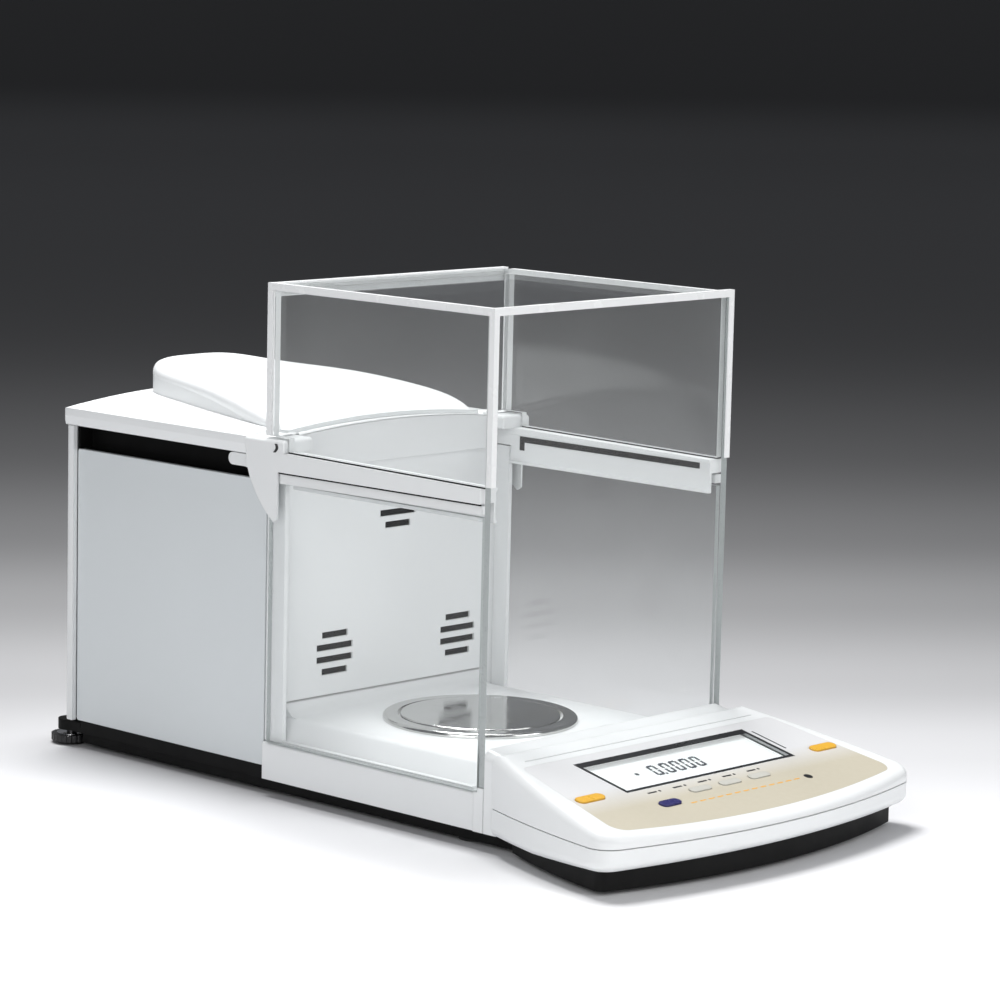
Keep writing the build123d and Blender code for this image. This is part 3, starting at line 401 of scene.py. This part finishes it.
# Painted light and shade for the panes' ground edges: brightly lit, lit and shaded tones of one edge.
BRIGHT_LIT_EDGE = (0.90, 0.91, 0.91)
LIT_EDGE = (0.80, 0.82, 0.82)
SHADED_EDGE = (0.40, 0.43, 0.43)
HOOD_GLASS = glass("hood_glass", (1, 0, 0), LIT_EDGE, LIT_EDGE, haze=0.027)
DOOR_GLASS = glass("door_glass", (1, 0, 0), SHADED_EDGE, SHADED_EDGE, 0.5)
PANES = {
    "hood_pane_left": HOOD_GLASS,
    "hood_pane_right": HOOD_GLASS,
    "door_glass_left": DOOR_GLASS,
    "door_glass_right": DOOR_GLASS,
    "front_pane": glass("front_glass", (0, 1, 0), SHADED_EDGE, LIT_EDGE, 0.5, haze=0.02),
    "hood_pane_rear": glass("rear_glass", (0, 1, 0), BRIGHT_LIT_EDGE, BRIGHT_LIT_EDGE, haze=0.027),
    "top_door_glass": glass("top_glass", (0, 0, 1), LIT_EDGE, LIT_EDGE, 0.35, 0.0),
}
CHROME = metal("chrome", (0.80, 0.80, 0.81), 0.06, brushed((300, 300, 300), 0.000002), spread=0.03)
INK_BLACK = ink("ink_black", (0.015, 0.015, 0.017), 0.3)
INK_ORANGE = ink("ink_orange", (0.80, 0.42, 0.05), 0.4)
SEGMENTS_DARK = ink("segments_dark", (0.03, 0.035, 0.05), 0.4, 0.000002)


def paint_nodes():
    """Every CAD node takes the material of its slot in the record, and a pane takes its own glass."""
    for subpart in frame["record"]["subparts"]:
        slot = subpart["material_slot"]
        if slot in MATERIALS:
            give(nodes[subpart["node"]], MATERIALS[slot])
    for name, material in PANES.items():
        give(nodes[name], material)


def give(piece, material):
    """The piece has this one material."""
    piece.data.materials.clear()
    piece.data.materials.append(material)


# ---- pieces ----
def piece_from(name, mesh_maker, material, body):
    """A new piece made by a function that fills a bmesh."""
    mesh = bpy.data.meshes.new(name)
    work = bmesh.new()
    mesh_maker(work)
    bmesh.ops.recalc_face_normals(work, faces=work.faces)
    work.to_mesh(mesh)
    work.free()
    piece = bpy.data.objects.new(name, mesh)
    bpy.context.scene.collection.objects.link(piece)
    give(piece, material)
    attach(piece, body)


def slab(work, outline, low, high, place):
    """A flat plate: outline points (u, v) from low to high, put in space by place(u, v, w)."""
    bottom = [work.verts.new(place(u, v, low)) for u, v in outline]
    top = [work.verts.new(place(u, v, high)) for u, v in outline]
    work.faces.new(bottom)
    work.faces.new(list(reversed(top)))
    count = len(outline)
    for i in range(count):
        j = (i + 1) % count
        work.faces.new((bottom[i], bottom[j], top[j], top[i]))


def rectangle(u0, u1, v0, v1):
    return [(u0, v0), (u1, v0), (u1, v1), (u0, v1)]


def disc(u, v, radius, count=24):
    turn = 2 * math.pi / count
    return [(u + radius * math.cos(turn * i), v + radius * math.sin(turn * i)) for i in range(count)]


def lathe(work, profile, centre, axis="Z", count=48):
    """A solid of revolution: profile points are (radius, height) from one end to the other."""
    turn = {"Z": Matrix.Identity(3), "Y": Matrix.Rotation(-math.pi / 2, 3, "X")}[axis]
    rings = []
    for radius, height in profile:
        ring = []
        for i in range(count):
            angle = 2 * math.pi * i / count
            point = Vector((radius * math.cos(angle), radius * math.sin(angle), height))
            ring.append(work.verts.new(Vector(centre) + turn @ point))
        rings.append(ring)
    for lower, upper in zip(rings, rings[1:]):
        for i in range(count):
            j = (i + 1) % count
            work.faces.new((lower[i], lower[j], upper[j], upper[i]))
    work.faces.new(list(reversed(rings[0])))
    work.faces.new(rings[-1])


def keypad_origin():
    """The point at the middle of the display on the foil's upper surface."""
    low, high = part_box("display_window")
    middle = (low + high) / 2
    return middle + OUT_OF_SLOPE * 1.0 * MM


KEYPAD_ORIGIN = keypad_origin()


def on_keypad(u, v, w):
    """A point in the keypad's frame, in metres."""
    return KEYPAD_ORIGIN + Vector((u, 0, 0)) + v * UP_SLOPE + w * OUT_OF_SLOPE


def display_frame():
    """Black border printed on the window, thicker at the rear."""
    half, deep = 68.5 * MM, 19.5 * MM
    thin, thick = 2.2 * MM, 5.0 * MM
    low, high = -0.1 * MM, -0.03 * MM

    def make(work):
        slab(work, rectangle(-half, half, deep - thick, deep), low, high, on_keypad)
        slab(work, rectangle(-half, half, -deep, -deep + thin), low, high, on_keypad)
        slab(work, rectangle(-half, -half + thin, -deep + thin, deep - thick), low, high, on_keypad)
        slab(work, rectangle(half - thin, half, -deep + thin, deep - thick), low, high, on_keypad)
    piece_from("display_frame", make, INK_BLACK, "base")


def zero(work, u, size, low, high):
    """A nought made of six segments, leaning a little, with its left edge at u."""
    wide = 0.5 * size
    half = size / 2
    bar = 0.14 * size
    lean = 0.12
    left = (0, bar)
    right = (wide - bar, wide)
    across = (bar * 0.6, wide - bar * 0.6)
    upper = (half + bar * 0.3, size - bar * 0.5)
    lower = (bar * 0.5, half - bar * 0.3)

    def place(x, y, w):
        return on_keypad(u + x + lean * y, y - half, w)

    ends = [(*across, size - bar, size), (*across, 0, bar)]
    sides = [(*side, *span) for side in (left, right) for span in (upper, lower)]
    for segment in ends + sides:
        slab(work, rectangle(*segment), low, high, place)


def display_digits():
    """The reading: 0.0000, with a stability mark."""
    low, high = -2.18 * MM, -2.08 * MM
    size = 12 * MM
    step = 0.68 * size
    point_gap = 0.12 * size
    starts = [-28 * MM] + [-28 * MM + step * index + point_gap for index in range(1, 5)]

    def make(work):
        for start in starts:
            zero(work, start, size, low, high)
        point = starts[0] + 0.88 * step
        slab(work, disc(point, -size / 2 + 0.6 * MM, 0.9 * MM), low, high, on_keypad)
        slab(work, disc(-39 * MM, 0, 1.4 * MM), low, high, on_keypad)
    piece_from("display_digits", make, SEGMENTS_DARK, "base")


def foil_print():
    """Small marks on the foil: key symbols, a dashed rule and a dot."""
    low, high = 0.0, 0.04 * MM

    def dark(work):
        for index in range(5):
            start = (-58 + 20 * index) * MM
            slab(work, rectangle(start, start + 7 * MM, -25.2 * MM, -23.9 * MM), low, high, on_keypad)
            slab(work, disc(start + 9.5 * MM, -24.5 * MM, 0.9 * MM), low, high, on_keypad)
        slab(work, disc(52 * MM, -43 * MM, 2.6 * MM), low, high, on_keypad)
        slab(work, rectangle(71.5 * MM, 72.7 * MM, -10 * MM, 15 * MM), low, high, on_keypad)

    def warm(work):
        for index in range(13):
            start = (-44 + 7 * index) * MM
            slab(work, rectangle(start, start + 4.6 * MM, -43.5 * MM, -42.5 * MM), low, high, on_keypad)
    piece_from("foil_marks", dark, INK_BLACK, "base")
    piece_from("foil_rule", warm, INK_ORANGE, "base")


def foot_washers():
    """A plated washer on each levelling wheel."""
    for side in ("left", "right"):
        low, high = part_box(f"foot_screw_{side}")
        centre = (low + high) / 2

        def make(work):
            top = high.z - 13.7 * MM
            profile = [(8.6 * MM, top - 0.48 * MM), (8.8 * MM, top - 0.24 * MM), (8.6 * MM, top)]
            lathe(work, profile, (centre.x, centre.y, 0))
        piece_from(f"foot_washer_{side}", make, CHROME, f"foot_screw_{side}")


def shield_pads():
    """A curved black rubber pad on each shoulder block, just behind the upper side pane."""
    steps = 8
    for side, outward in (("left", -1), ("right", 1)):
        low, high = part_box(f"arm_{side}")
        face = low.x if outward < 0 else high.x
        back = high.y - 25.5 * MM
        foot = high.z - 7.6 * MM
        tall = 4.8 * MM

        def bowed(offset):
            shares = [i / steps for i in range(steps + 1)]
            return [(back + offset - 5.6 * MM * t * (1 - t) - 1.2 * MM * t, foot + tall * t) for t in shares]

        def make(work):
            outline = bowed(0) + bowed(1.8 * MM)[::-1]
            slab(work, outline, -0.1 * MM, 0.4 * MM, lambda u, v, w: Vector((face + outward * w, u, v)))
        piece_from(f"shield_pad_{side}", make, MATERIALS["rubber"], "base")


def level_bubble():
    """The bubble and the ring mark in the level."""
    low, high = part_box("level_vial")
    centre = ((low.x + high.x) / 2, (low.y + high.y) / 2, 0)

    def bubble(work):
        top = high.z - 0.45 * MM
        profile = [(0.4 * MM, top), (1.6 * MM, top - 0.1 * MM), (2.5 * MM, top - 0.5 * MM)]
        profile += [(2.7 * MM, top - 0.9 * MM), (2.0 * MM, top - 1.3 * MM), (0.6 * MM, top - 1.5 * MM)]
        lathe(work, profile, centre)

    def on_vial(u, v, w):
        return Vector((centre[0] + u, centre[1] + v, w))

    def ring(work):
        top = high.z - 0.25 * MM
        inner = disc(0, 0, 3.4 * MM, 32)
        outer = disc(0, 0, 3.9 * MM, 32)
        for i in range(32):
            j = (i + 1) % 32
            slab(work, [inner[i], outer[i], outer[j], inner[j]], top - 0.05 * MM, top, on_vial)
    piece_from("level_bubble", bubble, MATERIALS["white_trim"], "base")
    piece_from("level_ring", ring, INK_BLACK, "base")


def data_pins():
    """Nine contacts in the data socket, in rows of five and four."""
    low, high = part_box("rear_sockets")
    middle_x = -2.5 * MM
    middle_z = 45.5 * MM
    floor_y = high.y - 10.0 * MM

    def make(work):
        for row, count in ((1.4, 5), (-1.4, 4)):
            for i in range(count):
                x = middle_x + (i - (count - 1) / 2) * 2.8 * MM
                lathe(
                    work,
                    [(0.5 * MM, 0), (0.5 * MM, 4.4 * MM), (0.25 * MM, 4.9 * MM)],
                    (x, floor_y, middle_z + row * MM), axis="Y", count=12,
                )
    piece_from("data_pins", make, MATERIALS["brass"], "base")


paint_nodes()
display_frame()
display_digits()
foil_print()
foot_washers()
shield_pads()
level_bubble()
data_pins()


# ---- floor, light and camera ----
# How the painted light on the floor falls off behind the balance: metres behind it, and the floor's painted
# tone there.
FLOOR_PAINTED_LIGHT = [
    (-0.1, 0.78), (0.1, 0.62), (0.3, 0.45), (0.6, 0.315), (0.9, 0.225),
    (1.4, 0.165), (2.4, 0.125), (4.5, 0.14), (6.5, 0.12),
]
FLOOR_START = -0.4
FLOOR_DEPTH = 10.0


def floor():
    """Wide floor with painted light: near white under the balance, and painted dark grey far behind it,
    where the light falls off.
    """
    mesh = bpy.data.meshes.new("floor")
    half = 60.0
    corners = [(-half, -half, 0), (half, -half, 0), (half, half, 0), (-half, half, 0)]
    mesh.from_pydata(corners, [], [(0, 1, 2, 3)])
    piece = bpy.data.objects.new("floor", mesh)
    bpy.context.scene.collection.objects.link(piece)
    material, tree, shader = new_material("floor")
    # Painted light: the floor's colour darkens with the distance behind the balance.
    behind = add(tree, "VectorMath", operation="DOT_PRODUCT")
    behind.inputs[1].default_value = (0.64, 0.77, 0)
    tree.links.new(position(tree), behind.inputs[0])
    ramp = add(tree, "ValToRGB")
    along = remap(tree, behind.outputs["Value"], 0, 1, FLOOR_START, FLOOR_START + FLOOR_DEPTH)
    tree.links.new(along, ramp.inputs["Fac"])
    ramp.color_ramp.interpolation = "EASE"
    stops = ramp.color_ramp.elements
    stops[0].position, stops[0].color = 0.0, (0.90, 0.90, 0.90, 1)
    stops[1].position, stops[1].color = 1.0, (0.03, 0.03, 0.031, 1)
    for metres_behind, tone in FLOOR_PAINTED_LIGHT:
        stop = stops.new((metres_behind - FLOOR_START) / FLOOR_DEPTH)
        stop.color = (tone, tone, tone * 1.02, 1)
    mottle = add(tree, "Mix", data_type="RGBA", blend_type="MULTIPLY")
    mottle.inputs["Factor"].default_value = 1.0
    tree.links.new(ramp.outputs["Color"], mottle.inputs[6])
    clouds = blend_colours(tree, noise(tree, 3.0, 2.0), (0.97, 0.97, 0.97), (1, 1, 1))
    tree.links.new(clouds, mottle.inputs[7])
    tree.links.new(mottle.outputs[2], shader.inputs["Base Color"])
    shader.inputs["Roughness"].default_value = 0.6
    shader.inputs["Specular IOR Level"].default_value = 0.1
    give(piece, material)


def area_light(name, place, aim, size, energy):
    """A square softbox that points at aim."""
    data = bpy.data.lights.new(name, "AREA")
    data.size = size
    data.energy = energy
    lamp = bpy.data.objects.new(name, data)
    bpy.context.scene.collection.objects.link(lamp)
    lamp.location = place
    lamp.rotation_euler = (Vector(aim) - Vector(place)).to_track_quat("-Z", "Y").to_euler()


def lights():
    """A softbox overhead and a little behind, two weak fills at the sides shown, and a dim room."""
    area_light("key", (0.05, 0.30, 1.4), (0, 0, 0.1), 0.6, 26.5)
    area_light("fill", (-1.9, -0.9, 0.9), (0, 0, 0.12), 1.4, 15.5)
    area_light("front", (0.5, -2.1, 0.9), (0, -0.1, 0.1), 1.3, 19.5)
    world = bpy.data.worlds.new("room")
    bpy.context.scene.world = world
    world.use_nodes = True
    background = world.node_tree.nodes["Background"]
    background.inputs["Color"].default_value = (0.30, 0.31, 0.33, 1)
    background.inputs["Strength"].default_value = 0.45


def camera():
    """The camera at the photograph's angle."""
    azimuth, elevation = CAMERA_AZIMUTH, CAMERA_ELEVATION
    back = Vector((
        math.sin(azimuth) * math.cos(elevation),
        -math.cos(azimuth) * math.cos(elevation),
        math.sin(elevation),
    ))
    level_right = Vector((0, 0, 1)).cross(back).normalized()
    level_up = back.cross(level_right)
    right = math.cos(CAMERA_ROLL) * level_right + math.sin(CAMERA_ROLL) * level_up
    up = back.cross(right)
    data = bpy.data.cameras.new("camera")
    data.lens = CAMERA_LENS
    data.sensor_width = 36.0
    data.clip_start = 0.05
    data.clip_end = 200.0
    piece = bpy.data.objects.new("camera", data)
    bpy.context.scene.collection.objects.link(piece)
    piece.matrix_world = Matrix.Translation(CAMERA_PLACE) @ Matrix((right, up, back)).transposed().to_4x4()
    bpy.context.scene.camera = piece


floor()
lights()
camera()
bpy.context.scene.view_settings.view_transform = "Standard"
